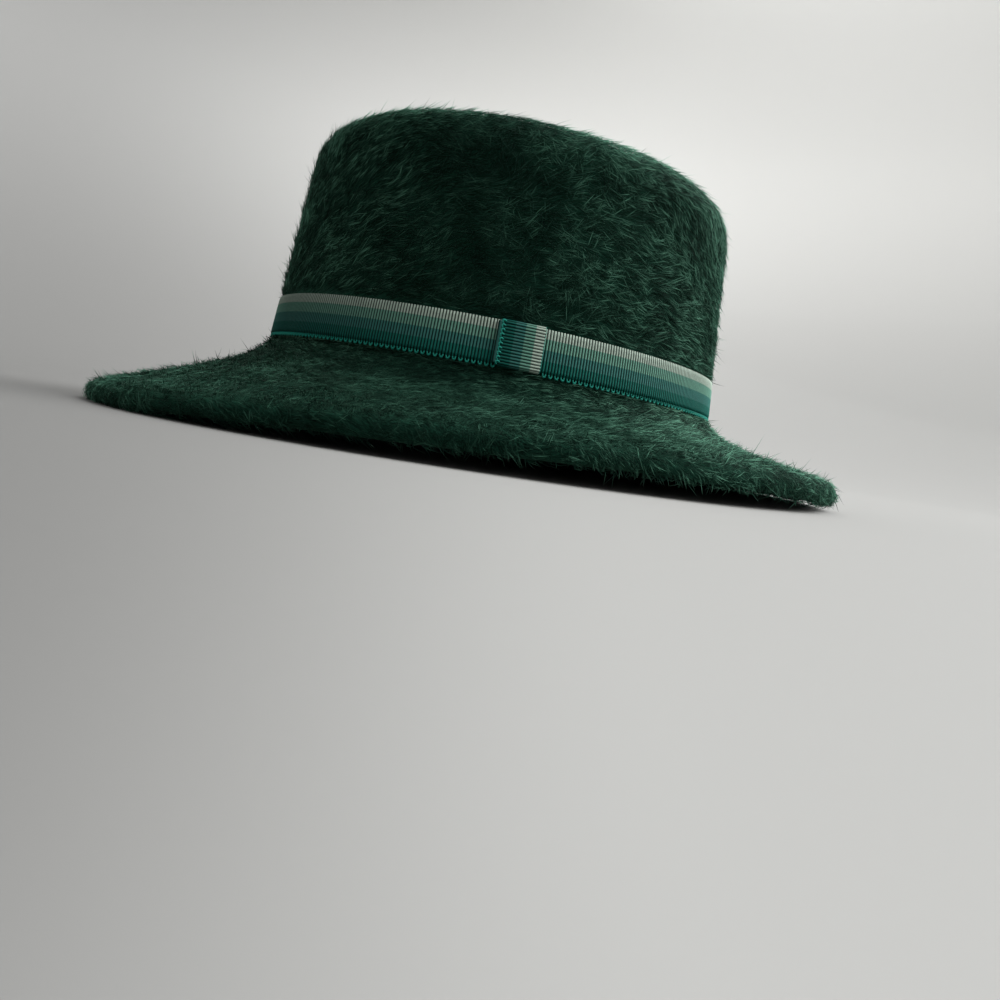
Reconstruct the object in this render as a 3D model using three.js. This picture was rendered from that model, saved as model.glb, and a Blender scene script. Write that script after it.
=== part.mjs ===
// Flat-crowned hat of long-haired fur felt with a striped ribbon band.
// Millimetres. +Z is up, the front of the hat is -Y and the wearer's left is +X.
// The hat stands on the lowest stretches of its brim, at Z = 0.

import * as THREE from 'three';

// ---- Driving dimensions --------------------------------------------------------------

const segments = 72;             // facets round the hat
const clearance = 0.3;           // between neighbouring pieces

const felt = {
  wall: 3,                       // thickness of the felt
  halfLength: 101.9,             // outer half axes of the oval at the foot of the ribbon
  halfWidth: 85.3,
  footHeight: 35.1,              // height of the ribbon's lower edge above the ground
  footSlope: 0.037,              // the ribbon line falls towards the back
};

const crown = {
  height: 99,                    // from the ribbon's lower edge to the rim of the flat top
  taper: 4.3,                    // how far the side leans in over that height
  forward: -2.7,                 // how far the top stands forward of the foot
  edgeRadius: 21,                // rounding between the side and the top
  dome: 3,                       // rise of the flat top towards its middle
};

const brim = {
  start: -2,                     // height at which the brim leaves the crown
  flareDrop: 8,                  // depth of the hollow curve at the foot of the crown
  flareReach: 7,                 // and the distance over which it dies away
  turnWidth: 9.5,                // width of the edge that is turned under
  turnHalf: 3.6,                 // half the thickness of that doubled edge
  settle: 1.5,                   // softness of the change from hanging free to lying flat
  pressed: 0.2,                  // depth pressed flat where the edge lies on the ground
  ringSpread: 1.6,               // how the rings crowd towards the crown, where it curves most
  wallOnSlope: 1.08,             // the wall measured upright against square to its slope
};

// The brim round the hat, as waves of the angle from the middle of the back: its width,
// and the height of the middle of its edge against the ribbon's lower edge. The twist is
// the part of that height that differs between the left and the right.
const brimWaves = [
  { turns: 0, width: 62.0, edge: -29.0, edgeTwist: 0.0 },
  { turns: 1, width: -6.0, edge: 5.5, edgeTwist: 0.0 },
  { turns: 2, width: -3.5, edge: -2.9, edgeTwist: -2.5 },
  { turns: 3, width: 0.0, edge: 0.8, edgeTwist: 0.0 },
];

const ribbon = {
  thickness: 1,
  height: 16,
  keeperWidth: 15.7,
  keeperCentre: 0.5,             // degrees of the oval from +X towards the back
  keeperLap: 0.8,                // the keeper's reach above and below the band
  keeperBevel: 0.4,              // taken off its two long outer edges
  foldWidth: 1.8,
  foldThickness: 1.3,
  foldMargin: 0.3,               // how far the fold stops short of the band's edges
};

const colours = {
  felt: 0x14301f,
  band: 0x3f6e66,
  keeper: 0x4c7a70,
  fold: 0x35605a,
};

// ---- The surface of the hat ----------------------------------------------------------

const quarterTurn = Math.PI / 2;
const step = (2 * Math.PI) / segments;
const roundingSlack = 1e-9;

function brimWidth(angle) {
  let width = 0;
  for (const wave of brimWaves) width += wave.width * Math.cos(wave.turns * (angle - quarterTurn));
  return width;
}

function freeEdgeHeight(angle) {
  let height = 0;
  for (const wave of brimWaves) {
    const phase = wave.turns * (angle - quarterTurn);
    height += wave.edge * Math.cos(phase) + wave.edgeTwist * Math.sin(phase);
  }
  return height;
}

// A point of the hat: outwards from the oval by offset, up from the ribbon line by
// height, then drawn in towards the crown's axis by scale.
function hatPoint(angle, offset, height, scale = 1) {
  const across = Math.cos(angle);
  const along = Math.sin(angle);
  const normal = new THREE.Vector2(across / felt.halfWidth, along / felt.halfLength).normalize();
  const x = (felt.halfWidth * across + normal.x * offset) * scale;
  const flatY = (felt.halfLength * along + normal.y * offset) * scale;
  const y = flatY - crown.forward * Math.max(height, 0) / crown.height;
  return new THREE.Vector3(x, y, felt.footHeight + height - felt.footSlope * flatY);
}

// Height of the middle of the brim's edge, lifted where it would pass through the ground.
function edgeHeight(angle) {
  const free = freeEdgeHeight(angle);
  const middle = brimWidth(angle) - brim.turnWidth / 2;
  const underside = hatPoint(angle, middle, free - brim.turnHalf).z + brim.pressed;
  if (underside >= brim.settle) return free;
  if (underside <= -brim.settle) return free - underside;
  const lifted = (underside + brim.settle) ** 2 / (4 * brim.settle);
  return free + lifted - underside;
}

// Top surface of the brim at a distance out from the crown.
function brimTop(angle, distance) {
  const flare = brim.flareDrop * (1 - Math.exp(-distance / brim.flareReach));
  const reach = brimWidth(angle) - brim.turnHalf;
  const flareAtReach = brim.flareDrop * (1 - Math.exp(-reach / brim.flareReach));
  const edgeTop = edgeHeight(angle) + brim.turnHalf;
  const fall = edgeTop - brim.start + flareAtReach;
  return brim.start - flare + fall * distance / reach;
}

function crownSide(height) {
  return -crown.taper * height / (crown.height - crown.edgeRadius);
}

// ---- The felt's section, a list of rings from the top centre round to the inside -----

const domeSteps = 4;
const cornerSteps = 6;
const sideSteps = 4;
const brimSteps = 7;

// The crown from its top centre down to the foot, set in from the outside by inset.
function crownRings(inset) {
  const rings = [];
  const cornerHeight = crown.height - crown.edgeRadius;
  const sideOffset = crownSide(cornerHeight) - inset;
  const radius = crown.edgeRadius - inset;
  for (let i = 1; i <= domeSteps; i += 1) {
    const scale = i / domeSteps;
    const rise = crown.dome * (1 - scale * scale);
    rings.push((angle) => hatPoint(angle, sideOffset - radius, cornerHeight + radius + rise, scale));
  }
  for (let i = 1; i <= cornerSteps; i += 1) {
    const turn = (quarterTurn * i) / cornerSteps;
    const offset = sideOffset - radius * (1 - Math.sin(turn));
    const height = cornerHeight + radius * Math.cos(turn);
    rings.push((angle) => hatPoint(angle, offset, height));
  }
  for (let i = 1; i <= sideSteps; i += 1) {
    const height = cornerHeight + ((brim.start - cornerHeight) * i) / sideSteps;
    rings.push((angle) => hatPoint(angle, crownSide(height) - inset, height));
  }
  return rings;
}

// The brim's top and underside, from the crown out to the turned edge, drop below its top.
function brimRings(drop) {
  const rings = [];
  for (let i = 1; i <= brimSteps; i += 1) {
    const share = (i / brimSteps) ** brim.ringSpread;
    rings.push((angle) => {
      const distance = share * (brimWidth(angle) - brim.turnWidth);
      return hatPoint(angle, distance, brimTop(angle, distance) - drop);
    });
  }
  return rings;
}

// The doubled edge: back is the distance in from the rim, rise the height against its middle.
const edgeSection = [
  { back: 3.6, rise: 3.6 },
  { back: 1.4, rise: 2.8 },
  { back: 0.2, rise: 1.1 },
  { back: 0.2, rise: -1.1 },
  { back: 1.3, rise: -2.9 },
  { back: 2.9, rise: -3.6 },
  { back: 6.3, rise: -3.6 },
  { back: 8.6, rise: -2.5 },
  { back: 9.5, rise: -0.6 },
];

function edgeRings() {
  return edgeSection.map((row) => (angle) => {
    const point = hatPoint(angle, brimWidth(angle) - row.back, edgeHeight(angle) + row.rise);
    return point.setZ(Math.max(point.z, 0));
  });
}

function feltRings() {
  const undersideDrop = felt.wall * brim.wallOnSlope;
  const outside = [...crownRings(0), ...brimRings(0)];
  const inside = [...crownRings(felt.wall), ...brimRings(undersideDrop)];
  return [...outside, ...edgeRings(), ...inside.reverse()];
}

// ---- Closed meshes -------------------------------------------------------------------

function geometryFrom(points, triangles) {
  const geometry = new THREE.BufferGeometry();
  const positions = new Float32Array(points.flatMap((point) => point.toArray()));
  geometry.setAttribute('position', new THREE.BufferAttribute(positions, 3));
  geometry.setIndex(triangles);
  geometry.computeVertexNormals();
  return geometry;
}

// A closed skin through rings of points, with a single point at each end.
function skinBetweenPoles(rings, firstPole, lastPole) {
  const points = [firstPole];
  for (const ring of rings) {
    for (let k = 0; k < segments; k += 1) points.push(ring(k * step));
  }
  points.push(lastPole);
  const triangles = [];
  const last = points.length - 1;
  const at = (ring, k) => 1 + ring * segments + (k % segments);
  for (let k = 0; k < segments; k += 1) {
    triangles.push(0, at(0, k), at(0, k + 1));
    triangles.push(last, at(rings.length - 1, k + 1), at(rings.length - 1, k));
    for (let r = 0; r + 1 < rings.length; r += 1) {
      triangles.push(at(r, k), at(r + 1, k), at(r + 1, k + 1));
      triangles.push(at(r, k), at(r + 1, k + 1), at(r, k + 1));
    }
  }
  return geometryFrom(points, triangles);
}

// A point that lies on the hat's flat facets, for pieces that sit on them.
function facetPoint(angle, offset, height) {
  const below = Math.floor(angle / step + roundingSlack);
  const share = angle / step - below;
  const start = hatPoint(below * step, offset, height);
  return start.lerp(hatPoint((below + 1) * step, offset, height), share);
}

// A strip that follows the crown: section is a closed list of offset and height, and the
// strip runs through the angles given. A whole loop joins up; a short strip has two ends.
function strip(section, angles, whole) {
  const count = section.length;
  const points = [];
  for (const angle of angles) {
    for (const [offset, height] of section) {
      points.push(facetPoint(angle, crownSide(height) + offset, height));
    }
  }
  const triangles = [];
  const spans = whole ? angles.length : angles.length - 1;
  for (let k = 0; k < spans; k += 1) {
    const here = k * count;
    const next = ((k + 1) % angles.length) * count;
    for (let i = 0; i < count; i += 1) {
      const j = (i + 1) % count;
      triangles.push(here + i, next + i, next + j);
      triangles.push(here + i, next + j, here + j);
    }
  }
  if (!whole) {
    const outline = section.map(([offset, height]) => new THREE.Vector2(offset, height));
    const lastRow = (angles.length - 1) * count;
    for (const [a, b, c] of THREE.ShapeUtils.triangulateShape(outline, [])) {
      triangles.push(a, b, c);
      triangles.push(lastRow + a, lastRow + c, lastRow + b);
    }
  }
  return geometryFrom(points, triangles);
}

// The angles of a short strip: its two ends and every facet edge between them.
function anglesAcross(start, end) {
  const angles = [start];
  for (let k = Math.floor(start / step) + 1; k * step < end; k += 1) angles.push(k * step);
  angles.push(end);
  return angles;
}

// ---- The ribbon pieces ---------------------------------------------------------------

const bandInner = clearance;
const bandOuter = bandInner + ribbon.thickness;
const keeperInner = bandOuter + clearance;
const keeperOuter = keeperInner + ribbon.thickness;
const keeperTop = ribbon.height + ribbon.keeperLap;
const keeperBottom = -ribbon.keeperLap;
const innerTop = ribbon.height + clearance;
const angleForWidth = (width) => width / (felt.halfLength + keeperInner);
const keeperStart = THREE.MathUtils.degToRad(ribbon.keeperCentre) - angleForWidth(ribbon.keeperWidth) / 2;
const keeperEnd = keeperStart + angleForWidth(ribbon.keeperWidth);

function bandGeometry() {
  const section = [
    [bandInner, 0],
    [bandOuter, 0],
    [bandOuter, ribbon.height],
    [bandInner, ribbon.height],
  ];
  const angles = Array.from({ length: segments }, (_, k) => k * step);
  return strip(section, angles, true);
}

// The keeper is open towards the crown: it laps over the band's upper and lower edges.
function keeperGeometry() {
  const section = [
    [keeperOuter, keeperBottom + ribbon.keeperBevel],
    [keeperOuter, keeperTop - ribbon.keeperBevel],
    [keeperOuter - ribbon.keeperBevel, keeperTop],
    [bandInner, keeperTop],
    [bandInner, innerTop],
    [keeperInner, innerTop],
    [keeperInner, -clearance],
    [bandInner, -clearance],
    [bandInner, keeperBottom],
    [keeperOuter - ribbon.keeperBevel, keeperBottom],
  ];
  return strip(section, anglesAcross(keeperStart, keeperEnd), false);
}

// The folded end stands against the band, just in front of the keeper.
function foldGeometry() {
  const outer = keeperInner + ribbon.foldThickness;
  const top = ribbon.height - ribbon.foldMargin;
  const section = [
    [keeperInner, ribbon.foldMargin],
    [outer, ribbon.foldMargin],
    [outer, top],
    [keeperInner, top],
  ];
  const end = keeperStart - angleForWidth(clearance);
  return strip(section, anglesAcross(end - angleForWidth(ribbon.foldWidth), end), false);
}

// ---- The assembly --------------------------------------------------------------------

function addPiece(group, name, geometry, color, roughness) {
  const material = new THREE.MeshStandardMaterial({ color, roughness, metalness: 0 });
  const mesh = new THREE.Mesh(geometry, material);
  mesh.name = name;
  group.add(mesh);
}

function feltGeometry() {
  const topHeight = crown.height + crown.dome;
  const topPole = hatPoint(0, 0, topHeight, 0);
  const innerPole = hatPoint(0, 0, topHeight - felt.wall, 0);
  return skinBetweenPoles(feltRings(), topPole, innerPole);
}

// The brim is wider at the front, so the oval stands behind the middle of the whole hat.
const frontWidth = brimWidth(-quarterTurn);
const backWidth = brimWidth(quarterTurn);

const hat = new THREE.Group();
hat.position.y = (frontWidth - backWidth) / 2;
addPiece(hat, 'felt_body', feltGeometry(), colours.felt, 0.9);
addPiece(hat, 'hat_band', bandGeometry(), colours.band, 0.6);
addPiece(hat, 'band_keeper', keeperGeometry(), colours.keeper, 0.6);
addPiece(hat, 'band_fold', foldGeometry(), colours.fold, 0.6);

export default hat;
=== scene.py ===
import math

import bpy
import numpy as np
from mathutils import Matrix, Vector, kdtree


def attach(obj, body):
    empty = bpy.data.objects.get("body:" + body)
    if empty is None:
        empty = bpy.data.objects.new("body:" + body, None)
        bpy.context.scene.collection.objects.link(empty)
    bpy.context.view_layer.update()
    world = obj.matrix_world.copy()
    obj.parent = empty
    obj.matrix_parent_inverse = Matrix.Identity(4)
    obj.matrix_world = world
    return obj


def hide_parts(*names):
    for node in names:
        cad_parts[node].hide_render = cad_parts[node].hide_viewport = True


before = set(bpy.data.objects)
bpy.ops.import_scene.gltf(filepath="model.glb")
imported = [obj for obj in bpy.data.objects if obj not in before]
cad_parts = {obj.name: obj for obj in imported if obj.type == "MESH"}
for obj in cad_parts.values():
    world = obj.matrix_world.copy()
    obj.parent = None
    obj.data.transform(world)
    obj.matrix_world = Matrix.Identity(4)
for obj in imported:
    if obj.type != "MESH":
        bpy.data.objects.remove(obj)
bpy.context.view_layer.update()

# Metres, in the frame of the CAD model: +Z is up and the front of the hat is -Y.


def say(stage):
    print("hat scene:", stage, flush=True)


# The surface of the hat comes first, as the CAD model has it.

felt = {
    "wall": 0.003,
    "halfLength": 0.1019,
    "halfWidth": 0.0853,
    "footHeight": 0.0351,
    "footSlope": 0.037,
    "back": 0.006,
}
crown = {"height": 0.099, "taper": 0.0043, "forward": -0.0027, "edgeRadius": 0.021, "dome": 0.003}
brim = {
    "start": -0.002,
    "flareDrop": 0.008,
    "flareReach": 0.007,
    "turnWidth": 0.0095,
    "turnHalf": 0.0036,
    "settle": 0.0015,
    "pressed": 0.0002,
    "undersideDrop": 0.00324,
}
# waves round the brim: turns, width, height of the edge, twist of the edge
brimWaves = [
    (0, 0.062, -0.029, 0.0),
    (1, -0.006, 0.0055, 0.0),
    (2, -0.0035, -0.0029, -0.0025),
    (3, 0.0, 0.0008, 0.0),
]
# the turned edge: distance in from the rim, and height against its middle
edgeSection = [
    (0.0036, 0.0036),
    (0.0014, 0.0028),
    (0.0002, 0.0011),
    (0.0002, -0.0011),
    (0.0013, -0.0029),
    (0.0029, -0.0036),
    (0.0063, -0.0036),
    (0.0086, -0.0025),
    (0.0095, -0.0006),
]
cornerHeight = crown["height"] - crown["edgeRadius"]


def brimWidth(angle):
    return sum(width * np.cos(turns * (angle - math.pi / 2)) for turns, width, _, _ in brimWaves)


def freeEdgeHeight(angle):
    height = 0.0
    for turns, _, edge, twist in brimWaves:
        phase = turns * (angle - math.pi / 2)
        height = height + edge * np.cos(phase) + twist * np.sin(phase)
    return height


def hatPoint(angle, offset, height, scale=1.0):
    angle, offset, height, scale = np.broadcast_arrays(angle, offset, height, scale)
    across, along = np.cos(angle), np.sin(angle)
    normalX, normalY = across / felt["halfWidth"], along / felt["halfLength"]
    size = np.hypot(normalX, normalY)
    x = (felt["halfWidth"] * across + normalX / size * offset) * scale
    flatY = (felt["halfLength"] * along + normalY / size * offset) * scale
    y = flatY - crown["forward"] * np.maximum(height, 0) / crown["height"] + felt["back"]
    z = felt["footHeight"] + height - felt["footSlope"] * flatY
    return np.stack([x, y, z], axis=-1)


def edgeHeight(angle):
    free = freeEdgeHeight(angle)
    middle = brimWidth(angle) - brim["turnWidth"] / 2
    under = hatPoint(angle, middle, free - brim["turnHalf"])[..., 2] + brim["pressed"]
    settle = brim["settle"]
    eased = np.where(under <= -settle, 0, (under + settle) ** 2 / (4 * settle))
    return np.where(under >= settle, free, free - under + eased)


def brimTop(angle, distance):
    def flare(out):
        return brim["flareDrop"] * (1 - np.exp(-out / brim["flareReach"]))

    reach = brimWidth(angle) - brim["turnHalf"]
    fall = edgeHeight(angle) + brim["turnHalf"] - brim["start"] + flare(reach)
    return brim["start"] - flare(distance) + fall * distance / reach


def crownSide(height):
    return -crown["taper"] * height / cornerHeight


# a smooth curve through a list of points, in even shares
def smoothThrough(points, count):
    points = np.array(points)
    ends = np.vstack([2 * points[0] - points[1], points, 2 * points[-1] - points[-2]])
    place = np.linspace(0, len(points) - 1, count)
    k = np.minimum(place.astype(int), len(points) - 2)
    t = (place - k)[:, None]
    a, b, c, d = (ends[k + i] for i in range(4))
    bend, twist = 2 * a - 5 * b + 4 * c - d, 3 * b - a - 3 * c + d
    return 0.5 * (2 * b + (c - a) * t + bend * t**2 + twist * t**3)


# rings of points from the top centre outwards, set in from the outside by inset
def crownRings(angle, inset, domeSteps, cornerSteps, sideSteps):
    offset = crownSide(cornerHeight) - inset
    radius = crown["edgeRadius"] - inset
    rings = []
    for scale in np.linspace(0, 1, domeSteps + 1)[1:]:
        rise = crown["dome"] * (1 - scale**2)
        rings.append(hatPoint(angle, offset - radius, cornerHeight + radius + rise, scale))
    for turn in np.linspace(0, math.pi / 2, cornerSteps + 1)[1:]:
        height = cornerHeight + radius * math.cos(turn)
        rings.append(hatPoint(angle, offset - radius * (1 - math.sin(turn)), height))
    for height in np.linspace(cornerHeight, brim["start"], sideSteps + 1)[1:]:
        rings.append(hatPoint(angle, crownSide(height) - inset, height))
    return rings


def brimRings(angle, drop, steps):
    rings = []
    for share in np.linspace(0, 1, steps + 1)[1:] ** 1.4:
        distance = share * (brimWidth(angle) - brim["turnWidth"])
        rings.append(hatPoint(angle, distance, brimTop(angle, distance) - drop))
    return rings


def edgeRings(angle, steps):
    rings = []
    for back, rise in smoothThrough(edgeSection, steps):
        ring = hatPoint(angle, brimWidth(angle) - back, edgeHeight(angle) + rise)
        ring[:, 2] = np.maximum(ring[:, 2], 0)
        rings.append(ring)
    return rings


def addItem(name, data):
    item = bpy.data.objects.new(name, data)
    bpy.context.scene.collection.objects.link(item)
    return item


# a piece from its points and its faces
def makeMesh(name, points, quads, triangles=(), materials=(), slots=None):
    quads = np.asarray(quads, dtype=np.int32).reshape(-1, 4)
    triangles = np.asarray(triangles, dtype=np.int32).reshape(-1, 3)
    corners = np.concatenate([quads.ravel(), triangles.ravel()])
    quadStarts = np.arange(len(quads)) * 4
    triangleStarts = len(quads) * 4 + np.arange(len(triangles)) * 3
    mesh = bpy.data.meshes.new(name)
    mesh.vertices.add(len(points))
    mesh.vertices.foreach_set("co", np.asarray(points, dtype=np.float32).ravel())
    mesh.loops.add(len(corners))
    mesh.loops.foreach_set("vertex_index", corners)
    mesh.polygons.add(len(quads) + len(triangles))
    starts = np.concatenate([quadStarts, triangleStarts]).astype(np.int32)
    mesh.polygons.foreach_set("loop_start", starts)
    for material in materials:
        mesh.materials.append(material)
    if slots is not None:
        mesh.polygons.foreach_set("material_index", np.asarray(slots, dtype=np.int32))
    mesh.update(calc_edges=True)
    mesh.shade_smooth()
    return addItem(name, mesh)


# one number or one vector for each point of a piece, for its material
def addValues(piece, name, values):
    values = np.asarray(values, dtype=np.float32)
    kind, key = ("FLOAT", "value") if values.ndim == 1 else ("FLOAT_VECTOR", "vector")
    piece.data.attributes.new(name, kind, "POINT").data.foreach_set(key, values.ravel())


# the quads of a grid of points, row by row, open or closed along its rows
def gridQuads(rows, columns, closed, first=0):
    spans = columns if closed else columns - 1
    row, column = np.meshgrid(np.arange(rows - 1), np.arange(spans), indexing="ij")
    following = (column + 1) % columns
    here, below = first + row * columns, first + (row + 1) * columns
    quads = [here + column, below + column, below + following, here + following]
    return np.stack(quads, axis=-1).reshape(-1, 4)


# the triangles from one point to a closed ring
def fan(centre, first, count):
    turn = np.arange(count)
    return np.stack([np.full(count, centre), first + turn, first + (turn + 1) % count], axis=-1)


# even angles all the way round
def roundAngles(count):
    return np.arange(count) * 2 * math.pi / count


# how the points of a closed grid move for one step down and one step round
def gridSteps(grid):
    return np.gradient(grid, axis=0), (np.roll(grid, -1, axis=1) - np.roll(grid, 1, axis=1)) / 2


def unit(vectors):
    return vectors / np.maximum(np.linalg.norm(vectors, axis=-1, keepdims=True), 1e-12)


# seeded smooth noise, about -1 to 1, with features of the given size
def softNoise(points, size, seed, waves=14):
    dice = np.random.default_rng(seed)
    direction = unit(dice.normal(size=(waves, 3))) * dice.uniform(0.6, 1.3, (waves, 1))
    phase = dice.uniform(0, 2 * math.pi, waves)
    total = np.cos(points @ direction.T * (2 * math.pi / size) + phase).sum(axis=-1)
    return total / math.sqrt(waves)


# an operator that adds a node for shader maths, and the same with its two sides swapped
def operators(operation):
    def forward(self, other):
        return self.math(operation, self, other)

    def reflected(self, other):
        return self.math(operation, other, self)

    return forward, reflected


# A socket of a shader; arithmetic on it adds the nodes it needs.
class Shade:
    def __init__(self, tree, socket=None):
        self.tree = tree
        self.socket = socket

    # any node: its settings go first, then its sockets, by name or number
    def add(self, kind, settings=None, values=None, output=0):
        node = self.tree.nodes.new(kind)
        for key, value in (settings or {}).items():
            setattr(node, key, value)
        for key, value in (values or {}).items():
            if isinstance(value, Shade):
                self.tree.links.new(value.socket, node.inputs[key])
            elif node.inputs[key].type == "VECTOR" and not isVector(value):
                node.inputs[key].default_value = (value, value, value)
            else:
                node.inputs[key].default_value = value
        return Shade(self.tree, node.outputs[output] if len(node.outputs) else None)

    def math(self, operation, first, second):
        wide = isVector(first) or isVector(second)
        kind = "ShaderNodeVectorMath" if wide else "ShaderNodeMath"
        return self.add(kind, {"operation": operation}, {0: first, 1: second})

    __add__, __radd__ = operators("ADD")
    __sub__, __rsub__ = operators("SUBTRACT")
    __mul__, __rmul__ = operators("MULTIPLY")
    __truediv__, __rtruediv__ = operators("DIVIDE")
    __pow__, __rpow__ = operators("POWER")

    # one of the three numbers of a vector
    def part(self, letter):
        return self.add("ShaderNodeSeparateXYZ", None, {0: self}, letter)

    def dot(self, other):
        product = {"operation": "DOT_PRODUCT"}
        return self.add("ShaderNodeVectorMath", product, {0: self, 1: other}, "Value")

    # 0 below low, 1 above high and smooth between
    def between(self, low, high):
        limits = {"Value": self, "From Min": low, "From Max": high}
        smooth = {"interpolation_type": "SMOOTHSTEP"}
        return self.add("ShaderNodeMapRange", smooth, limits)

    # a colour between two others
    def blend(self, start, end):
        return self.add("ShaderNodeMix", {"data_type": "RGBA"}, {0: self, 6: start, 7: end}, 2)

    def noise(self, scale, detail=2.0):
        values = {"Vector": self, "Scale": scale, "Detail": detail}
        return self.add("ShaderNodeTexNoise", None, values, "Fac")

    # a number or a vector kept for each point of the piece
    def kept(self, name, output="Fac"):
        return self.add("ShaderNodeAttribute", {"attribute_name": name}, None, output)

    def place(self):
        return self.add("ShaderNodeTexCoord", None, None, "Object")


def isVector(value):
    if isinstance(value, Shade):
        return value.socket.type in ("VECTOR", "RGBA")
    return hasattr(value, "__len__")


def colour(red, green, blue):
    return (red, green, blue, 1.0)


# build gives base colour, roughness and height; the rest are constants of the shader
def makeMaterial(name, build, bumpDepth, constants):
    material = bpy.data.materials.new(name)
    material.use_nodes = True
    material.node_tree.nodes.clear()
    pen = Shade(material.node_tree)
    base, roughness, height = build(pen)
    relief = {"Strength": 1.0, "Distance": bumpDepth, "Height": height}
    bump = pen.add("ShaderNodeBump", None, relief)
    values = {"Base Color": base, "Roughness": roughness, "Normal": bump, **constants}
    surface = pen.add("ShaderNodeBsdfPrincipled", None, values)
    pen.add("ShaderNodeOutputMaterial", None, {"Surface": surface})
    return material


# noise drawn out along the nap, worked out lock by lock so that it can turn with the nap
def combed(pen, lock, stretch, scale, shift):
    place = pen.place() + shift
    cells = {"Vector": place, "Scale": 1 / lock}
    centre = place.add("ShaderNodeTexVoronoi", None, cells, "Position")
    nap = pen.kept("napDirection", "Vector")
    offset = place - centre
    squeezed = offset - nap * (offset.dot(nap) * (1 - 1 / stretch))
    return (squeezed + centre * 37.0).noise(scale, 2.0)


# Fine and broad have the size of a lock, how far its noise is drawn out, its scale and shift.
# A rough pair is the least roughness and what is added to it.
feltLook = {
    # deep is the felt's darkest tone; the felt under the nap and the nap's roots are painted with
    # it, partly as painted shade deep in the pile
    "deep": colour(0.0007, 0.0050, 0.0032),
    "mid": colour(0.0100, 0.0460, 0.0300),
    "light": colour(0.1250, 0.3100, 0.2150),
    "fine": (0.009, 9.0, 2400.0, (0.0, 0.0, 0.0)),
    "broad": (0.014, 6.0, 1100.0, (0.31, 0.17, 0.23)),
    "fineShare": 0.6,
    "streakLimits": (0.32, 0.68),
    "patchLimits": (0.35, 0.65),
    "patchShare": 0.25,
    "napPatchShare": 0.2,
    # where along a strand the nap goes from painted shade at the root to the light colour at the
    # tip
    "rootShadeLimits": (0.12, 0.75),
    "rough": (0.7, 0.15),
    "napRough": (0.42, 0.16),
}


# two values in one, with the given share of the second
def mixed(first, second, share):
    return first * (1 - share) + second * share


def rising(pair, share):
    return pair[0] + pair[1] * share


def feltPatches(pen, scale, detail):
    return pen.place().noise(scale, detail).between(*feltLook["patchLimits"])


def buildNappedFelt(pen):
    fine, broad = combed(pen, *feltLook["fine"]), combed(pen, *feltLook["broad"])
    streak = mixed(broad, fine, feltLook["fineShare"]).between(*feltLook["streakLimits"])
    lightness = mixed(streak, feltPatches(pen, 45.0, 3.0), feltLook["patchShare"])
    # the felt under the nap is painted in the dark tones, partly its own colour and partly painted
    # shade between the strands
    base = lightness.blend(feltLook["deep"], feltLook["mid"])
    return base, rising(feltLook["rough"], streak), streak


undersideLook = {
    "deep": colour(0.0080, 0.0260, 0.0150),
    "light": colour(0.0150, 0.0440, 0.0260),
    "limits": (0.3, 0.7),
    "rough": (0.8, 0.1),
}


def buildSmoothFelt(pen):
    fibre = pen.place().noise(2200.0, 3.0)
    cloud = pen.place().noise(60.0, 3.0)
    mottle = mixed(fibre, cloud, 0.5).between(*undersideLook["limits"])
    base = mottle.blend(undersideLook["deep"], undersideLook["light"])
    return base, rising(undersideLook["rough"], fibre), fibre


def buildNap(pen):
    tone = pen.kept("tone")
    along = pen.kept("along")
    lightness = mixed(tone, feltPatches(pen, 60.0, 2.0), feltLook["napPatchShare"])
    body = lightness.blend(feltLook["deep"], feltLook["mid"])
    # painted shade at the roots: each strand goes from its own tone at the root to the light colour
    # at the tip
    base = (along * lightness).between(*feltLook["rootShadeLimits"]).blend(body, feltLook["light"])
    return base, rising(feltLook["napRough"], lightness), pen.place().noise(3000.0, 1.0)


feltShader = {
    "IOR": 1.08,
    "Sheen Weight": 0.10,
    "Sheen Roughness": 0.35,
    "Sheen Tint": colour(0.40, 1.0, 0.66),
}
nappedFelt = makeMaterial("nappedFelt", buildNappedFelt, 0.0005, feltShader)
smoothFelt = makeMaterial("smoothFelt", buildSmoothFelt, 0.0002, feltShader)
napHair = makeMaterial("napHair", buildNap, 0.00003, feltShader)

# the ribbon's four stripes, from its lower edge up, and the height where each ends
ribbonLook = {
    "thread": colour(0.0140, 0.2000, 0.1550),
    "emerald": colour(0.0040, 0.1250, 0.0980),
    "slate": colour(0.0380, 0.1750, 0.1520),
    "sage": colour(0.1350, 0.3200, 0.2450),
    "cream": colour(0.3900, 0.4900, 0.4150),
    "ends": (0.28, 0.53, 0.78),
    "loopsBelow": (-0.04, -0.02),
    "loopsAbove": (1.01, 1.02),
    "blur": 0.012,
    "threads": 450.0,
    # how dark painted shade makes the hollows between the ribs
    "grooveShade": 0.09,
    "worn": 0.3,
    # how much darker painted shade makes the stripes where it lies
    "paintedShadeDarker": 0.5,
    "rough": (0.5, 0.2),
    "loopWeave": (-0.1, 1.0, 0.0),
}


# the stripe colour at a share of the ribbon's width
def stripes(share):
    first, second, third = ribbonLook["ends"]
    blur = ribbonLook["blur"]
    thread, emerald = ribbonLook["thread"], ribbonLook["emerald"]
    low = share.between(*ribbonLook["loopsBelow"]).blend(thread, emerald)
    low = share.between(first - blur, first + blur).blend(low, ribbonLook["slate"])
    high = share.between(third - blur, third + blur).blend(ribbonLook["sage"], ribbonLook["cream"])
    high = share.between(*ribbonLook["loopsAbove"]).blend(high, thread)
    return share.between(second - blur, second + blur).blend(low, high)


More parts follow.
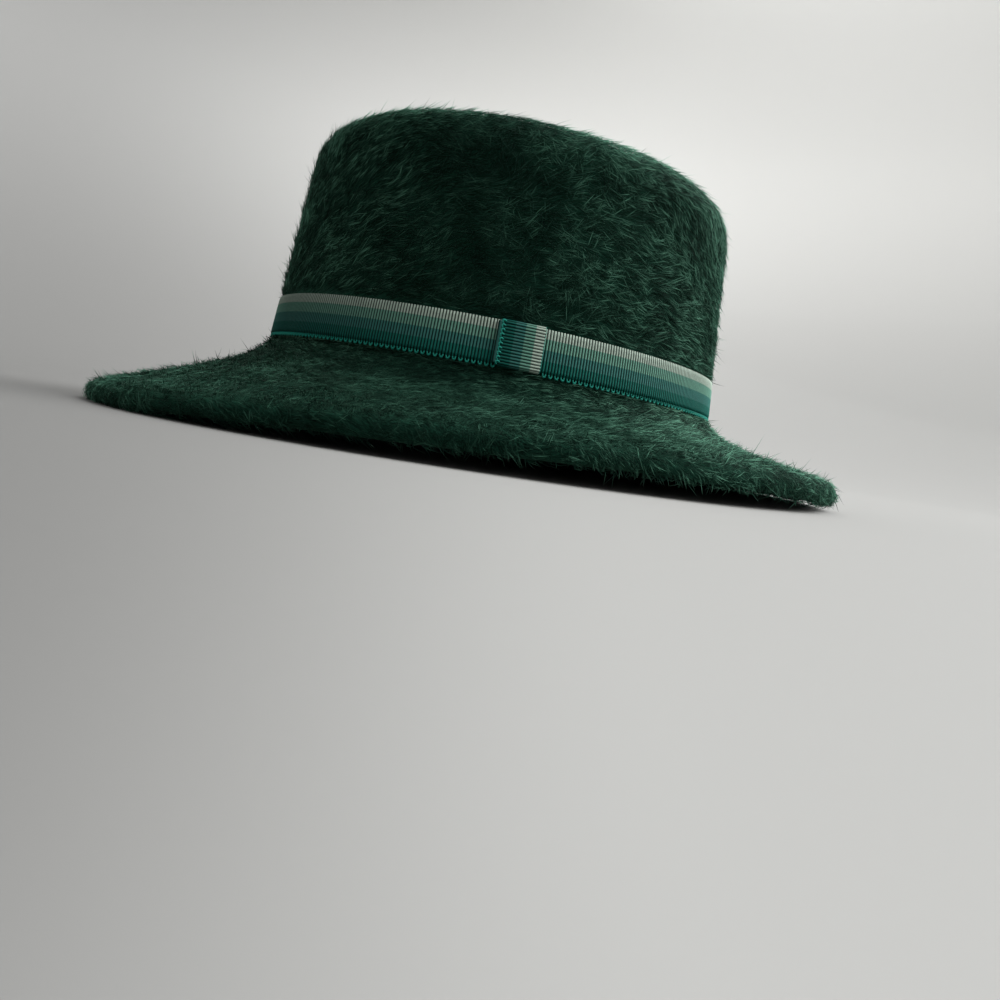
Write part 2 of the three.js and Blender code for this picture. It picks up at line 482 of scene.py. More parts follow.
def buildRibbon(pen):
    weave = pen.kept("weave", "Vector")
    across, rib, paintedShade = weave.part("X"), weave.part("Y"), weave.part("Z")
    thread = {0: across * ribbonLook["threads"]}
    thread = across.add("ShaderNodeMath", {"operation": "SINE"}, thread)
    worn = pen.place().noise(900.0, 2.0)
    # painted shade: the stripes are darkened by the weave's third number
    stripe = stripes(across) * (1.0 - paintedShade * ribbonLook["paintedShadeDarker"])
    # painted shade in the hollows between the ribs, to a mask from the rib's height with noise
    crest = (rib**2.0 + (worn - 0.5) * ribbonLook["worn"]).between(0.0, 1.0)
    base = crest.blend(stripe * ribbonLook["grooveShade"], stripe)
    return base, rising(ribbonLook["rough"], worn), thread * 0.5 + worn


ribbonCloth = makeMaterial("ribbonCloth", buildRibbon, 0.00004, {"Specular IOR Level": 0.08})

say("materials made")

# The felt is a closed shell, with the nap's own depth taken off its outside. The inner
# steps are those of the dome, the corner, the side and the brim.

shell = {
    "around": 252,
    "domeSteps": 14,
    "cornerSteps": 12,
    "sideSteps": 26,
    "brimSteps": 30,
    "edgeSteps": 22,
    "innerSteps": (5, 6, 8, 12),
    "napDepth": 0.0005,
    "edgeDepth": 0.0003,
    "lump": 0.00035,
    "lumpSize": 0.03,
    "ribbonZone": (-0.0025, 0.017),
    "ribbonEase": 0.003,
}


# how far a point at this height on the crown is set in below the nap; under the ribbon it isn't
def napInset(height, depth):
    low, high = shell["ribbonZone"]
    clear = np.clip(np.maximum(low - height, height - high) / shell["ribbonEase"], 0, 1)
    return depth * clear * clear * (3 - 2 * clear)


# the rings of the hat's outside, their heights on the crown, and where each stretch ends
def outerRings(angle, steps):
    rings = crownRings(angle, 0, *steps[:3])
    rings += brimRings(angle, 0, steps[3]) + edgeRings(angle, steps[4])
    ends = np.cumsum(steps)
    heights = np.full(len(rings), 1.0)
    heights[ends[1] : ends[2]] = np.linspace(cornerHeight, brim["start"], steps[2] + 1)[1:]
    heights[ends[2] :] = -1.0
    return np.array(rings), heights, ends


def outerSteps(values):
    return [values[f"{part}Steps"] for part in ("dome", "corner", "side", "brim", "edge")]


def buildShell():
    count = shell["around"]
    angle = roundAngles(count)
    outer, heights, ends = outerRings(angle, outerSteps(shell))
    down, around = gridSteps(outer)
    normal = unit(np.cross(down, around))
    inset = napInset(heights, shell["napDepth"])
    inset[ends[3] :] = shell["edgeDepth"]
    lump = softNoise(outer, shell["lumpSize"], 3) * shell["lump"]
    lump = lump * (inset / shell["napDepth"])[:, None]
    outer = outer - normal * (inset[:, None] - lump)[..., None]
    outer[..., 2] = np.maximum(outer[..., 2], 0)
    domeIn, cornerIn, sideIn, brimIn = shell["innerSteps"]
    inner = crownRings(angle, felt["wall"], domeIn, cornerIn, sideIn)
    inner += brimRings(angle, brim["undersideDrop"], brimIn)
    rings = np.concatenate([outer, np.array(inner)[::-1]])
    topHeight = crown["height"] + crown["dome"]
    poles = [hatPoint(0.0, 0.0, topHeight, 0.0), hatPoint(0.0, 0.0, topHeight - felt["wall"], 0.0)]
    poles[0][2] -= shell["napDepth"]
    points = np.concatenate([[poles[0]], rings.reshape(-1, 3), [poles[1]]])
    quads = gridQuads(len(rings), count, True, 1)
    lastRing = 1 + (len(rings) - 1) * count
    fans = [fan(0, 1, count), fan(len(points) - 1, lastRing, count)[:, [0, 2, 1]]]
    lip = ends[4] - shell["edgeSteps"] // 4
    slots = np.where(np.arange(len(quads)) // count < lip, 0, 1)
    slots = np.concatenate([slots, np.zeros(count), np.ones(count)])
    looks = [nappedFelt, smoothFelt]
    piece = makeMesh("felt", points, quads, np.concatenate(fans), looks, slots)
    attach(piece, "root")
    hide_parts("felt_body")
    return piece, len(rings), count


# The nap is strands that lie along the felt and are walked ring by ring.

nap = {
    "around": 360,
    "domeSteps": 16,
    "cornerSteps": 16,
    "sideSteps": 34,
    "brimSteps": 40,
    "edgeSteps": 24,
    "bend": 0.4,
    "width": 0.00032,
    "thickness": 0.6,
    "lockSize": 3,
    "lockReach": 0.003,
    "pull": 0.4,
    "pullCurve": 1.5,
    "steady": 0.6,
    "lift": 0.0007,
    "liftCurve": 1.6,
    "lowest": 0.0001,
    "root": 0.0008,
    "softness": 0.25,
    "tufts": 0.22,
    "tuftLift": (0.0010, 0.0028),
    "strayLift": 0.0012,
    "strayTail": 0.0011,
    "strayWidth": 0.9,
    "liftShape": 1.6,
    "liftLess": 0.0003,
    "tuftOwnLift": 0.4,
    "widthSpread": (0.7, 1.25),
    "toneShape": (0.9, 1.1),
    "toneShared": 0.35,
    "ownSpread": 0.45,
    "lockSpread": 0.9,
    "curl": 0.16,
}
napAngle = roundAngles(nap["around"])
napGrid, _, napEnds = outerRings(napAngle, outerSteps(nap))
napDown, napRound = gridSteps(napGrid)
napNormal = unit(np.cross(napDown, napRound))
domeEnd, cornerEnd, sideEnd, brimEnd, edgeEnd = napEnds - 1


# a grid's value at any ring and turn, with turns counted in grid columns
def lookUp(grid, ring, turn):
    ring = np.clip(ring, 0, grid.shape[0] - 1.001)
    row = ring.astype(int)
    turn = np.mod(turn, nap["around"])
    column = turn.astype(int) % nap["around"]
    following = (column + 1) % nap["around"]
    s, t = ring - row, turn - np.floor(turn)
    if grid.ndim == 3:
        s, t = s[..., None], t[..., None]
    upper = grid[row, column] * (1 - t) + grid[row, following] * t
    lower = grid[row + 1, column] * (1 - t) + grid[row + 1, following] * t
    return upper * (1 - s) + lower * s


def bump(value, middle, reach):
    return np.exp(-(((value - middle) / reach) ** 2))


# How the nap lies, in degrees up from the direction round the hat. A place round the hat
# has its middle, its reach and its angle: 0 is the wearer's left and 90 the back. The
# second number of a pair is added where the nap parts or towards the brim's edge.
lay = {
    "front": (-62, 42, 36),
    "back": (62, 30, -10),
    "middle": (0, 26, 8),
    "away": (180, 70, 14),
    "backTop": -62,
    "wander": (16, 22),
    "wanderSize": 0.026,
    "wanderUp": (0.4, 0.6),
    "unruly": (11, 20),
    "brimAngle": (-6, -26),
    "brimWander": (8, 26),
    "brimWanderSize": 0.03,
    "brimUnruly": (10, 16),
    "cornerAngle": -12,
    "cornerWander": 14,
    "cornerWanderSize": 0.02,
    "blendRings": 3,
}


# the nap's angle at a place, and how unruly it is there
def napField(ring, turn):
    degrees = np.mod(turn * 360 / nap["around"] + 180, 360) - 180
    place = lookUp(napGrid, ring, turn)
    up = np.clip((sideEnd - ring) / (sideEnd - cornerEnd), 0, 1)
    shares = {name: bump(degrees, *lay[name][:2]) for name in ("front", "back", "middle")}
    shares["away"] = bump(np.abs(degrees), *lay["away"][:2])
    side = sum(lay[name][2] * share for name, share in shares.items())
    side = side + lay["backTop"] * shares["back"] * up**2
    wander = rising(lay["wander"], shares["middle"]) * softNoise(place, lay["wanderSize"], 21)
    side = side + wander * rising(lay["wanderUp"], up)
    outward = np.clip((ring - sideEnd) / (brimEnd - sideEnd), 0, 1)
    wander = rising(lay["brimWander"], outward**2) * softNoise(place, lay["brimWanderSize"], 22)
    level = rising(lay["brimAngle"], outward**3) + wander
    onBrim = np.clip((ring - sideEnd) / lay["blendRings"], 0, 1)
    onCorner = np.clip((cornerEnd - ring) / (cornerEnd - domeEnd), 0, 1)
    corner = lay["cornerWander"] * softNoise(place, lay["cornerWanderSize"], 23)
    side = mixed(side, lay["cornerAngle"] + corner, onCorner)
    angle = mixed(side, level, onBrim)
    unruly = rising(lay["unruly"], shares["middle"])
    spread = mixed(unruly, rising(lay["brimUnruly"], outward**2), onBrim)
    return np.radians(angle), np.radians(spread)


# unit vectors round the hat and up the hat at a place on it
def localAxes(ring, turn):
    around = unit(lookUp(napRound, ring, turn))
    down = lookUp(napDown, ring, turn)
    upward = -unit(down - around * (down * around).sum(axis=-1, keepdims=True))
    return around, upward


# the way the nap lies at a place, as a unit vector, turned by its own angle
def napDirection(ring, turn, extra):
    angle, _ = napField(ring, turn)
    around, upward = localAxes(ring, turn)
    angle = (angle + extra)[..., None]
    return around * np.cos(angle) + upward * np.sin(angle)


# Walks strands over the felt, and gives the ring and turn of their roots, bends and tips.
def walk(ring, turn, extra, curl, length, limits):
    rings, turns = [ring], [turn]
    heading = napDirection(ring, turn, extra)
    for i, part in enumerate((nap["bend"], 1 - nap["bend"])):
        down = lookUp(napDown, ring, turn)
        around = lookUp(napRound, ring, turn)
        normal = unit(np.cross(down, around))
        heading = mixed(napDirection(ring, turn, extra + curl * i), heading, nap["steady"])
        heading = unit(heading - normal * (heading * normal).sum(axis=-1, keepdims=True))
        move = heading * (length * part)[:, None]
        downDown, roundRound = (down**2).sum(-1), (around**2).sum(-1)
        downRound = (down * around).sum(-1)
        alongDown, alongRound = (move * down).sum(-1), (move * around).sum(-1)
        size = downDown * roundRound - downRound**2
        ring = ring + (alongDown * roundRound - alongRound * downRound) / size
        turn = turn + (alongRound * downDown - alongDown * downRound) / size
        ring = np.clip(ring, limits[0], limits[1])
        rings.append(ring)
        turns.append(turn)
    return np.array(rings), np.array(turns)


# The flat top is walked in plan, since the rings close up at its middle.
def walkTop(scale, angle, extra, curl, length):
    inset = crownSide(cornerHeight) - crown["edgeRadius"]
    halfX, halfY = felt["halfWidth"] + inset, felt["halfLength"] + inset
    x, y = halfX * scale * np.cos(angle), halfY * scale * np.sin(angle)
    heading = angle + math.radians(topNap["heading"]) + extra
    rings, turns = [], []
    for part in (nap["bend"], 1 - nap["bend"], 0):
        reach = np.hypot(x / halfX, y / halfY)
        around = np.arctan2(y / halfY, x / halfX)
        beyond = np.maximum(reach - 1, 0) * np.hypot(halfX * np.cos(around), halfY * np.sin(around))
        cornerStride = crown["edgeRadius"] * math.pi / 2 / nap["cornerSteps"]
        rings.append(np.minimum(reach, 1) * nap["domeSteps"] - 1 + beyond / cornerStride)
        turns.append(around * nap["around"] / (2 * math.pi))
        x = x + np.cos(heading) * length * part
        y = y + np.sin(heading) * length * part
        heading = heading + curl
    return np.maximum(np.array(rings), 0), np.array(turns)


# Random places between two rings, evenly over the area of one side of the hat.
def scatter(dice, count, first, last, left):
    area = np.linalg.norm(np.cross(napDown, napRound), axis=-1)[first:last]
    area = area * ((np.cos(napAngle) > 0) == left)
    share = np.cumsum(area.ravel())
    cell = np.searchsorted(share, dice.uniform(0, share[-1], count))
    ring = first + cell // nap["around"] + dice.uniform(0, 1, count)
    turn = cell % nap["around"] + dice.uniform(0, 1, count)
    return ring, turn


# The strand that leads each strand's lock: the nearest of a chosen few.
def findLeaders(dice, ring, turn):
    roots = lookUp(napGrid, ring, turn)
    leaders = dice.choice(len(ring), max(len(ring) // nap["lockSize"], 1), replace=False)
    tree = kdtree.KDTree(len(leaders))
    for leader in leaders:
        tree.insert(Vector(roots[leader]), int(leader))
    tree.balance()
    return np.array([tree.find(Vector(root))[1] for root in roots])


# Strands that are pointed at root and tip and thickest where they bend. Locks close up at
# their tips.
def strandMesh(name, rings, turns, leader, widths, lifts, tones):
    count = rings.shape[1]
    centre = lookUp(napGrid, rings, turns)
    normal = unit(lookUp(napNormal, rings, turns))
    share = np.array([0, nap["bend"], 1])
    near = np.linalg.norm(centre[0] - centre[0, leader], axis=-1) < nap["lockReach"]
    pull = (nap["pull"] * share[:, None] ** nap["pullCurve"] * near)[..., None]
    centre = centre * (1 - pull) + centre[:, leader] * pull
    arch = np.outer(np.sin(share * math.pi), np.full(count, nap["lift"]))
    rise = np.outer(share ** nap["liftCurve"], lifts) + arch
    rise[0] = -nap["root"]
    centre = centre + normal * rise[..., None]
    side = unit(np.cross(centre[2] - centre[0], normal[1]))
    out = unit(np.cross(side, centre[2] - centre[0]))
    corners, facing = [centre[0]], [normal[0]]
    for turn in np.radians([90, 210, 330]):
        spoke = side * math.cos(turn) + out * (math.sin(turn) * nap["thickness"])
        corners.append(centre[1] + spoke * widths[:, None] / 2)
        facing.append(unit(spoke) * (1 - nap["softness"]) + normal[1] * nap["softness"])
    points = np.stack([*corners, centre[2]], axis=1)
    facing = unit(np.stack([*facing, normal[2]], axis=1))
    points[..., 2] = np.maximum(points[..., 2], nap["lowest"])
    triangles = []
    for k in range(3):
        following = (k + 1) % 3
        triangles += [[0, 1 + k, 1 + following], [1 + following, 1 + k, 4]]
    base = (np.arange(count) * 5)[:, None, None]
    piece = makeMesh(name, points.reshape(-1, 3), (), base + np.array(triangles), [napHair])
    addValues(piece, "along", np.tile(share[[0, 1, 1, 1, 2]], count))
    addValues(piece, "tone", np.repeat(tones, 5))
    piece.data.normals_split_custom_set_from_vertices(facing.reshape(-1, 3))
    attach(piece, "root")
    return piece


# Each stretch has long strands over a layer of short ones, and the counts are for one side.
# Stops are in rings: from the top, from the ribbon or from the hidden end of the turned edge.
crownNap = {
    "tipStop": 2,
    "count": 18500,
    "under": 9500,
    "length": (0.0050, 0.0108),
    "lift": 0.0009,
    "strays": 0.10,
}
brimNap = {
    "ribbonStop": 0.4,
    "tipStop": 12,
    "count": 15000,
    "under": 8000,
    "length": (0.0042, 0.0092),
    "lift": 0.0011,
    "strays": 0.10,
}
topNap = {
    "count": 12000,
    "under": 6000,
    "length": (0.0040, 0.0082),
    "lift": 0.0010,
    "strays": 0.08,
    "spread": 0.3,
    "heading": 62,
    "wander": 0.5,
    "wanderSize": 0.5,
}
edgeNap = {
    "inwardStop": 6,
    "rootStop": 9,
    "tipStop": 6,
    "count": 5000,
    "under": 2200,
    "length": (0.0028, 0.0070),
    "lift": 0.0013,
    "strays": 0.12,
}
# the short layer under the long strands is shorter, lower and wider, and its tone is painted darker
# as painted shade beneath them
under = {"length": 0.6, "lift": 0.5, "spread": 1.5, "tone": 0.7, "width": 1.2}
# painted shade where the crown's nap parts, and painted shade and painted light on the brim
partingShade = {"darker": 0.55, "at": -15, "reach": 20, "blendRings": 4}
brimPaintedLight = {
    "darker": 0.55,
    "at": -20,
    "reach": 36,
    "lighter": 0.15,
    "lighterAt": 48,
    "lighterReach": 26,
}
# painted highlight round the crown's upper edge: how much lighter, what is added to the tone first,
# and its reach in rings on the side and on the top
crestHighlight = {"lighter": 0.9, "least": 0.3, "reach": 8, "topReach": 5}


# lengths, lifts, widths and tones for a stretch of nap; strays stand well off the felt
def strandValues(dice, values, leader, isUnder):
    count = len(leader)
    length = dice.uniform(*values["length"], count)
    lift = dice.gamma(nap["liftShape"], values["lift"] / nap["liftShape"], count) - nap["liftLess"]
    raised = (dice.uniform(0, 1, count) < nap["tufts"])[leader]
    tuft = dice.uniform(*nap["tuftLift"], count)[leader]
    lift = np.where(raised, lift * nap["tuftOwnLift"] + tuft, lift)
    stray = dice.uniform(0, 1, count) < values["strays"]
    lift = np.where(stray, nap["strayLift"] + dice.exponential(nap["strayTail"], count), lift)
    width = nap["width"] * dice.uniform(*nap["widthSpread"], count)
    width = width * np.where(stray, nap["strayWidth"], 1.0)
    tone = dice.beta(*nap["toneShape"], count)
    tone = tone * (1 - nap["toneShared"]) + tone[leader] * nap["toneShared"]
    if isUnder:
        # painted shade: the under layer's tone is darkened
        length, lift, tone = length * under["length"], lift * under["lift"], tone * under["tone"]
        width = width * under["width"]
    return length, lift, width, tone


# a strand turns partly by itself and partly with its lock
def sharedTurn(extra, leader):
    return extra * nap["ownSpread"] + extra[leader] * nap["lockSpread"]


# A painted highlight: the nap is painted lighter round the crown's upper edge.
def paintedCrestHighlight(tone, ring, reach):
    crest = crestHighlight["lighter"] * bump(ring, domeEnd, reach)
    return tone + crest * (crestHighlight["least"] + tone)


# Half way along each side of the crown the nap parts, and painted shade darkens it there; the
# brim has painted shade there too, and painted light towards its ends.
def paintedNapLight(tone, ring, turn):
    degrees = np.mod(turn * 360 / nap["around"] + 90, 180) - 90
    onCrownSide = np.clip((sideEnd - ring) / partingShade["blendRings"], 0, 1)
    side = -partingShade["darker"] * bump(degrees, partingShade["at"], partingShade["reach"])
    flat = brimPaintedLight["lighter"] * bump(degrees, brimPaintedLight["lighterAt"], brimPaintedLight["lighterReach"])
    flat = flat - brimPaintedLight["darker"] * bump(degrees, brimPaintedLight["at"], brimPaintedLight["reach"])
    tone = tone * (1 + side * onCrownSide + flat * (1 - onCrownSide))
    return paintedCrestHighlight(tone, ring, crestHighlight["reach"])


def buildSideNap(name, values, first, last, limits, seed):
    dice = np.random.default_rng(seed)
    for side, left in (("left", True), ("right", False)):
        for layer, count in (("nap", values["count"]), ("undernap", values["under"])):
            isUnder = layer == "undernap"
            ring, turn = scatter(dice, count, first, last, left)
            leader = findLeaders(dice, ring, turn)
            length, lift, width, tone = strandValues(dice, values, leader, isUnder)
            tone = paintedNapLight(tone, ring, turn)
            _, spread = napField(ring, turn)
            extra = sharedTurn(dice.normal(0, 1, len(ring)), leader) * spread
            extra = extra * (under["spread"] if isUnder else 1.0)
            curl = dice.normal(0, nap["curl"], len(ring))
            rings, turns = walk(ring, turn, extra, curl, length, limits)
            strandMesh(f"{name}_{layer}_{side}", rings, turns, leader, width, lift, tone)


def buildTopNap(seed):
    dice = np.random.default_rng(seed)
    for layer, count in (("nap", topNap["count"]), ("undernap", topNap["under"])):
        isUnder = layer == "undernap"
        scale = np.sqrt(dice.uniform(0, 1, count))
        angle = dice.uniform(0, 2 * math.pi, count)
        ring = scale * nap["domeSteps"] - 1
        leader = findLeaders(dice, ring, angle * nap["around"] / (2 * math.pi))
        length, lift, width, tone = strandValues(dice, topNap, leader, isUnder)
        tone = paintedCrestHighlight(tone, ring, crestHighlight["topReach"])
        extra = sharedTurn(dice.normal(0, topNap["spread"], count), leader)
        plan = np.stack([scale * np.cos(angle), scale * np.sin(angle), scale * 0], axis=-1)
        extra = extra + topNap["wander"] * softNoise(plan, topNap["wanderSize"], 5)
        curl = dice.normal(0, nap["curl"], count)
        rings, turns = walkTop(scale, angle, extra, curl, length)
        strandMesh(f"top_{layer}", rings, turns, leader, width, lift, tone)


# the ring, as a number with a fraction, at a height on the crown's side
def ringAtHeight(height):
    return cornerEnd + (cornerHeight - height) / (cornerHeight - brim["start"]) * nap["sideSteps"]


# Each stretch is given the rings where its strands start and those that they stay between.
def buildNapPieces():
    top = ringAtHeight(shell["ribbonZone"][1])
    buildSideNap("crown", crownNap, domeEnd, int(top) + 1, (crownNap["tipStop"], top), 31)
    limits = (sideEnd + brimNap["ribbonStop"], edgeEnd - brimNap["tipStop"])
    buildSideNap("brim", brimNap, sideEnd, brimEnd, limits, 32)
    limits = (brimEnd - edgeNap["inwardStop"], edgeEnd - edgeNap["tipStop"])
    buildSideNap("edge", edgeNap, brimEnd, edgeEnd - edgeNap["rootStop"], limits, 33)
    buildTopNap(34)


# the way the nap lies at every point of the shell, for its material
def addShellDirections(piece, ringCount, count):
    share = np.arange(ringCount * count)
    row, column = share // count, share % count
    ends = np.concatenate([[0], np.cumsum(outerSteps(shell))])
    napBounds = np.concatenate([[0], napEnds])
    ring = np.interp(np.minimum(row + 1, ends[-1]), ends, napBounds) - 1
    direction = napDirection(ring, column * nap["around"] / count, np.zeros(len(ring)))
    top = row < shell["domeSteps"]
    angle = column * 2 * math.pi / count + math.radians(topNap["heading"])
    plan = np.stack([np.cos(angle), np.sin(angle), np.zeros(len(angle))], axis=-1)
    direction = np.where(top[:, None], plan, direction)
    pole = np.array([[1.0, 0.0, 0.0]])
    addValues(piece, "napDirection", np.concatenate([pole, direction, pole]))


feltPiece, shellRings, shellCount = buildShell()
addShellDirections(feltPiece, shellRings, shellCount)
say("felt made")
buildNapPieces()
say("nap made")

# The ribbon goes round the foot of the crown.

ribbon = {
    "height": 0.016,
    "inner": 0.0003,
    "outer": 0.0013,
    "ribs": 544,
    "ribShape": (0.0, 0.8, 1.0, 0.8),
    "ribDepth": 0.00045,
    "ribRise": 0.00005,
    "ribPeak": 0.00012,
    "edgeRound": 0.00015,
    "rows": 12,
    # painted shade on the band's end towards the front: its middle in degrees round the hat and its
    # reach
    "paintedShade": (296, 36),
    "picots": 272,
    "picotRadius": 0.00058,
    "picotLength": 1.5,
    "picotThread": 0.00029,
    "picotPast": 0.35,
    "picotDrop": 0.0004,
}


# A closed slab from two grids that face each other. A band that closes up on itself may have
# fewer rows inside; a strip with two ends has the same number.
def slab(name, outer, inner, closed, materials):
    rows, columns = outer.shape[:2]
    points = np.concatenate([outer.reshape(-1, 3), inner.reshape(-1, 3)])
    shift = rows * columns
    innerQuads = gridQuads(inner.shape[0], columns, closed)[:, ::-1] + shift
    quads = [gridQuads(rows, columns, closed), innerQuads]
    spans = np.arange(columns if closed else columns - 1)
    following = (spans + 1) % columns
    bottom = (rows - 1) * columns
    innerBottom = shift + (inner.shape[0] - 1) * columns
    sides = [
        (spans, following, shift + following, shift + spans),
        (bottom + following, bottom + spans, innerBottom + spans, innerBottom + following),
    ]
    if not closed:
        row = np.arange(rows - 1) * columns
        end = row + columns - 1
        sides.append((row + columns, row, shift + row, shift + row + columns))
        sides.append((end, end + columns, shift + end + columns, shift + end))
    quads += [np.stack(side, axis=-1) for side in sides]
    return makeMesh(name, points, np.concatenate(quads), (), materials)


def onCrown(angle, offset, height):
    return hatPoint(angle, crownSide(height) + offset, height)


# small thread loops: where they stand, the way they point, the way along the edge, and
# the normal
def addLoops(name, centres, outward, along, normal, values):
    radius, thread = values["picotRadius"], values["picotThread"]
    arc = np.linspace(-values["picotPast"], math.pi + values["picotPast"], 8)
    a, b = np.meshgrid(arc, roundAngles(4), indexing="ij")
    a, b = a[None, ..., None], b[None, ..., None]
    outward, along, normal = (v[:, None, None] for v in (outward, along, normal))
    spoke = along * np.cos(a) + outward * (np.sin(a) * values["picotLength"])
    points = centres[:, None, None] + spoke * (radius + thread * np.cos(b))
    points = points + normal * (thread * np.sin(b))
    count, rows, columns = points.shape[:3]
    each = rows * columns
    caps = np.array([[0, 1, 2, 3], [each - 1, each - 2, each - 3, each - 4]])
    quads = np.concatenate([gridQuads(rows, columns, True), caps])
    quads = quads[None] + (np.arange(count) * each)[:, None, None]
    piece = makeMesh(name, points.reshape(-1, 3), quads, (), [ribbonCloth])
    addValues(piece, "weave", np.tile(ribbonLook["loopWeave"], (count * each, 1)))
    return piece


def buildBand():
    rib = np.tile(ribbon["ribShape"], ribbon["ribs"])
    angle = roundAngles(len(rib))
    share = np.linspace(1, 0, ribbon["rows"])[:, None]
    outer = ribbon["outer"] + ribbon["ribRise"] - ribbon["ribDepth"] * (1 - rib)
    outer = outer - ribbon["edgeRound"] * np.abs(2 * share - 1) ** 12
    height = share * ribbon["height"] + ribbon["ribPeak"] * rib * (share > 0.99)
    outerGrid = onCrown(angle, outer, height)
    innerGrid = onCrown(angle, ribbon["inner"], share[[0, -1]] * ribbon["height"])
    band = slab("ribbon_band", outerGrid, innerGrid, True, [ribbonCloth])
    shares = np.concatenate([share, share[[0, -1]]]) + 0 * angle
    ribs = np.tile(rib, (len(shares), 1))
    # the weave's third number is painted shade on the band's end towards the front
    paintedShade = np.tile(bump(np.degrees(angle), *ribbon["paintedShade"]), (len(shares), 1))
    addValues(band, "weave", np.stack([shares, ribs, paintedShade], axis=-1).reshape(-1, 3))
    ring = onCrown(angle, ribbon["outer"], 0.0)
    length = np.linalg.norm(np.roll(ring, -1, axis=0) - ring, axis=-1).sum()

    angle = roundAngles(ribbon["picots"]) + math.pi / ribbon["picots"]
    fromKeeper = angle - keeperStart - keeperAngle / 2
    fromKeeper = np.abs(np.mod(fromKeeper + math.pi, 2 * math.pi) - math.pi)
    angle = angle[fromKeeper > keeperAngle / 2]
    middle = (ribbon["inner"] + ribbon["outer"]) / 2 + 0.0001
    centres = onCrown(angle, middle, -ribbon["picotDrop"])
    along = unit(onCrown(angle + 0.01, middle, 0.0) - onCrown(angle - 0.01, middle, 0.0))
    downward = unit(onCrown(angle, middle, -0.001) - onCrown(angle, middle, 0.0))
    normal = unit(np.cross(downward, along))
    return band, addLoops("ribbon_picots", centres, downward, along, normal, ribbon), length


keeper = {
    "width": 0.0157,
    "centre": 0.5,
    "lap": 0.0008,
    "inner": 0.0016,
    "outer": 0.0026,
    "ribs": 18,
    "ribSteps": 6,
    "columns": 44,
    "ribDepth": 0.00045,
    "picots": 10,
    "picotRadius": 0.00062,
    "picotLength": 1.2,
    "picotThread": 0.00038,
    "picotPast": 0.35,
    "picotInset": (0.0004, 0.0006),
    # painted shade on the keeper, strongest at its end towards the front and fading across it
    "paintedShade": 0.85,
    "stripeReach": 1.03,
    "foldWidth": 0.0018,
    "foldStripe": 0.4,
    "foldThickness": 0.0013,
    "foldEdge": 0.25,
    "foldGrid": (30, 9),
    "gap": 0.0003,
}
keeperAngle = keeper["width"] / (felt["halfLength"] + keeper["inner"])
keeperStart = math.radians(keeper["centre"]) - keeperAngle / 2


# a path over the band from above it to below it, from offsets and distances in from either end
def lappedPath(half, lap):
    upper = [(offset, ribbon["height"] + lap - distance) for offset, distance in half]
    lower = [(offset, distance - lap) for offset, distance in reversed(half)]
    return np.array(upper + lower)


# the keeper's ribbon turned upright: it laps over the band's upper and lower edges
def buildKeeper():
    near, inner, outer = ribbon["inner"], keeper["inner"], keeper["outer"]
    outerHalf = [(near, 0), (near + 0.0008, 0), (inner, 0.0001)]
    outerHalf += [(outer - 0.0002, 0.0006), (outer, 0.0014)]
    innerHalf = [(near, 0), (near + 0.0006, 0), (inner - 0.0004, 0)]
    innerHalf += [(inner - 0.0001, 0.0001), (inner, 0.0004)]
    outerPath = lappedPath(outerHalf, keeper["lap"])
    innerPath = lappedPath(innerHalf, keeper["gap"])
    rows = keeper["ribs"] * keeper["ribSteps"] + 1
    run = np.concatenate([[0], np.cumsum(np.linalg.norm(np.diff(outerPath, axis=0), axis=1))])
    place = np.linspace(0, run[-1], rows)
    outerRows = np.stack([np.interp(place, run, outerPath[:, i]) for i in range(2)], axis=-1)
    innerRows = np.stack([np.interp(place, run, innerPath[:, i]) for i in range(2)], axis=-1)
    rib = np.sqrt(np.abs(np.sin(math.pi * np.linspace(0, keeper["ribs"], rows))))
    slope = np.gradient(outerRows, axis=0)
    outwards = unit(np.stack([-slope[:, 1], slope[:, 0]], axis=-1))
    outerRows = outerRows - outwards * (keeper["ribDepth"] * (1 - rib))[:, None]
    share = np.linspace(0, 1, keeper["columns"])
    angle = keeperStart + share * keeperAngle
    outerGrid = onCrown(angle, outerRows[:, :1], outerRows[:, 1:])
    innerGrid = onCrown(angle, innerRows[:, :1], innerRows[:, 1:])
    piece = slab("ribbon_keeper", outerGrid, innerGrid, False, [ribbonCloth])
    across = np.tile(share * keeper["stripeReach"], 2 * rows)
    ribs = np.tile(np.repeat(rib, len(share)), 2)
    # the weave's third number is painted shade, strongest at the keeper's front end
    addValues(piece, "weave", np.stack([across, ribs, keeper["paintedShade"] * (1 - across)], axis=-1))

    low, high = keeper["picotInset"]
    height = np.linspace(low, ribbon["height"] - high, keeper["picots"])
    centres = onCrown(keeperStart, outer - 0.0001, height)
    forward = unit(onCrown(keeperStart - 0.01, outer, height) - centres)
    upright = np.array([0.0, 0.0, 1.0])
    normal = unit(np.cross(upright, forward))
    outward, along = unit(forward + upright), unit(upright - forward)
    return piece, addLoops("keeper_picots", centres, outward, along, normal, keeper), run[-1]


